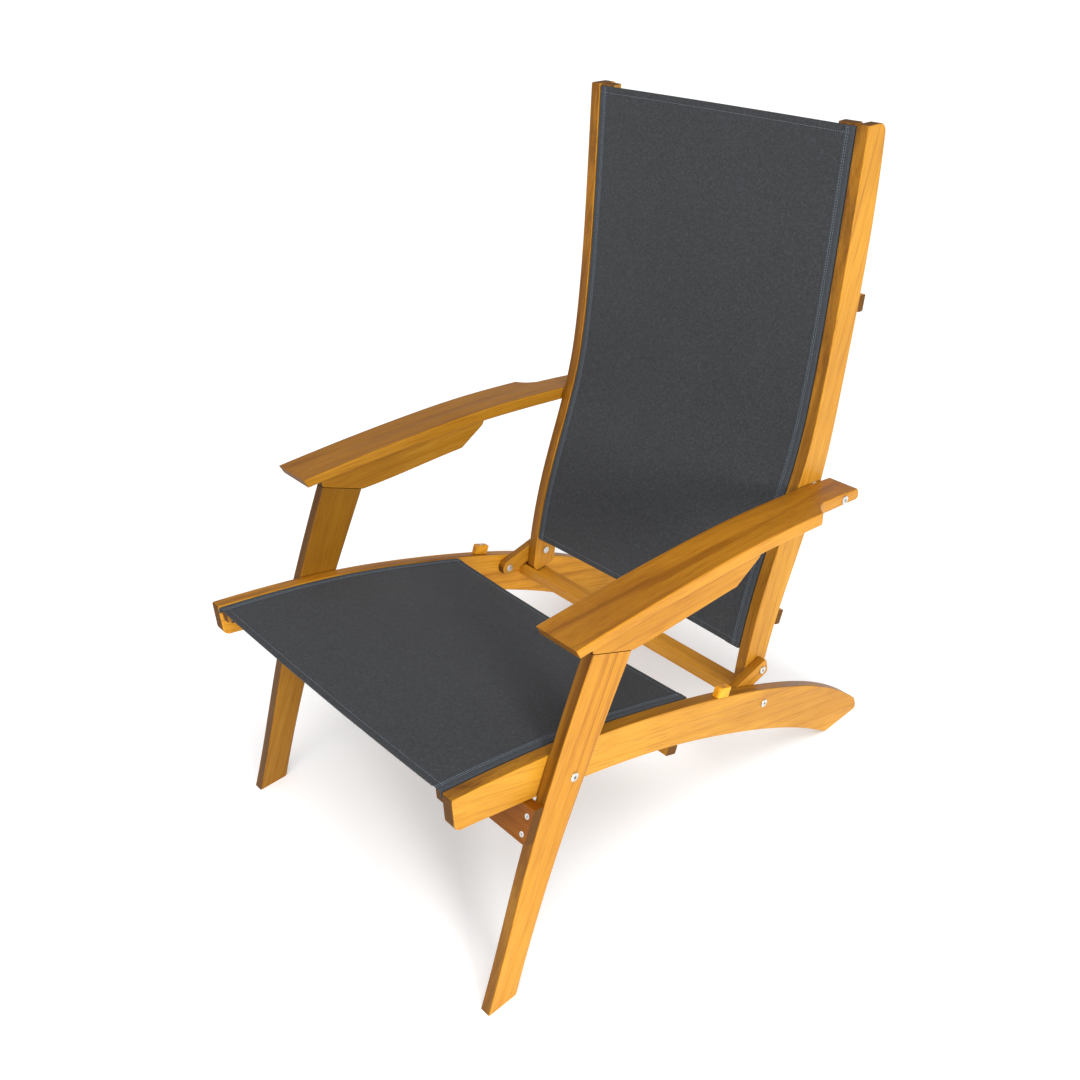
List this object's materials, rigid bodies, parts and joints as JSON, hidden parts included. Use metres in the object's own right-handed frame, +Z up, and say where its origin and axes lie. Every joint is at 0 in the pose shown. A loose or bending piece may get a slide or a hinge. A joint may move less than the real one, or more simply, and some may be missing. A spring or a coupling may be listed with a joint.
{
  "type": "folding deck chair",
  "caption": "Low folding wooden deck chair with curved side rails, flat armrests, a sling fabric seat and a tall sling fabric back that folds down over the seat.",
  "frame": {"origin": "on the floor, in the middle of the chair's length and width, with the chair set up for sitting", "axes": "+X across the chair to the sitter's left, +Y to the back of the chair, +Z up"},
  "size_m": [0.664, 0.8956, 1.0269],
  "materials": {
    "honey_wood": "satin, oiled, long straight grain",
    "arm_wood": "satin, oiled, a little browner than the frame",
    "block_wood": "satin, paler and yellower than the frame",
    "charcoal_cloth": "matte, plain weave",
    "zinc_steel": "bright zinc plating",
    "nylon": "matte"
  },
  "bodies": {
    "seat_frame": {"rail_left": "honey_wood", "rail_right": "honey_wood", "seat_batten_left": "honey_wood", "seat_batten_right": "honey_wood", "stop_block_left": "block_wood", "stop_block_right": "block_wood", "rear_crossbar": "honey_wood", "under_seat_crossbar": "honey_wood", "seat_sling": "charcoal_cloth", "crossbar_bolts": "zinc_steel", "stop_block_screws": "zinc_steel", "under_crossbar_screws": "zinc_steel", "seat_batten_screws": "zinc_steel"},
    "legs": {"leg_left": "honey_wood", "leg_right": "honey_wood", "leg_stretcher": "honey_wood", "stretcher_screws": "zinc_steel", "leg_pivot_bolts": "zinc_steel", "leg_washers": "nylon"},
    "links": {"link_left": "honey_wood", "link_right": "honey_wood", "link_rail_bolts": "zinc_steel", "link_stile_bolts": "zinc_steel", "link_cap_nuts": "zinc_steel"},
    "backrest": {"stile_left": "honey_wood", "stile_right": "honey_wood", "back_batten_left": "honey_wood", "back_batten_right": "honey_wood", "back_slat_upper": "honey_wood", "back_slat_lower": "honey_wood", "back_sling": "charcoal_cloth", "slat_screws": "zinc_steel", "back_batten_screws": "zinc_steel"},
    "arms": {"arm_left": "arm_wood", "arm_right": "arm_wood", "arm_bracket_left": "honey_wood", "arm_bracket_right": "honey_wood", "arm_bolts": "zinc_steel", "arm_washers": "nylon", "bracket_screws": "zinc_steel"}
  },
  "joints": [
    {"name": "back_fold", "type": "hinge", "parent": "seat_frame", "child": "links", "pos_m": [0, 0.10785, 0.2123], "axis": [1, 0, 0], "range_deg": [0, 93.5]},
    {"name": "back_on_links", "type": "hinge", "parent": "links", "child": "backrest", "pos_m": [0, 0.18125, 0.2273], "axis": [1, 0, 0], "range_deg": [-4.5, 0]},
    {"name": "arm_fold", "type": "hinge", "parent": "backrest", "child": "arms", "pos_m": [0, 0.29375, 0.508], "axis": [1, 0, 0], "range_deg": [-108.3, 0]},
    {"name": "leg_fold", "type": "hinge", "parent": "seat_frame", "child": "legs", "pos_m": [0, -0.26775, 0.3293], "axis": [1, 0, 0], "range_deg": [0, 95]}
  ],
  "couplings": [
    {"joint": "back_on_links", "follows": "back_fold", "ratio": -0.048128},
    {"joint": "arm_fold", "follows": "back_fold", "ratio": -1.1583},
    {"joint": "leg_fold", "follows": "back_fold", "ratio": 1.016}
  ]
}
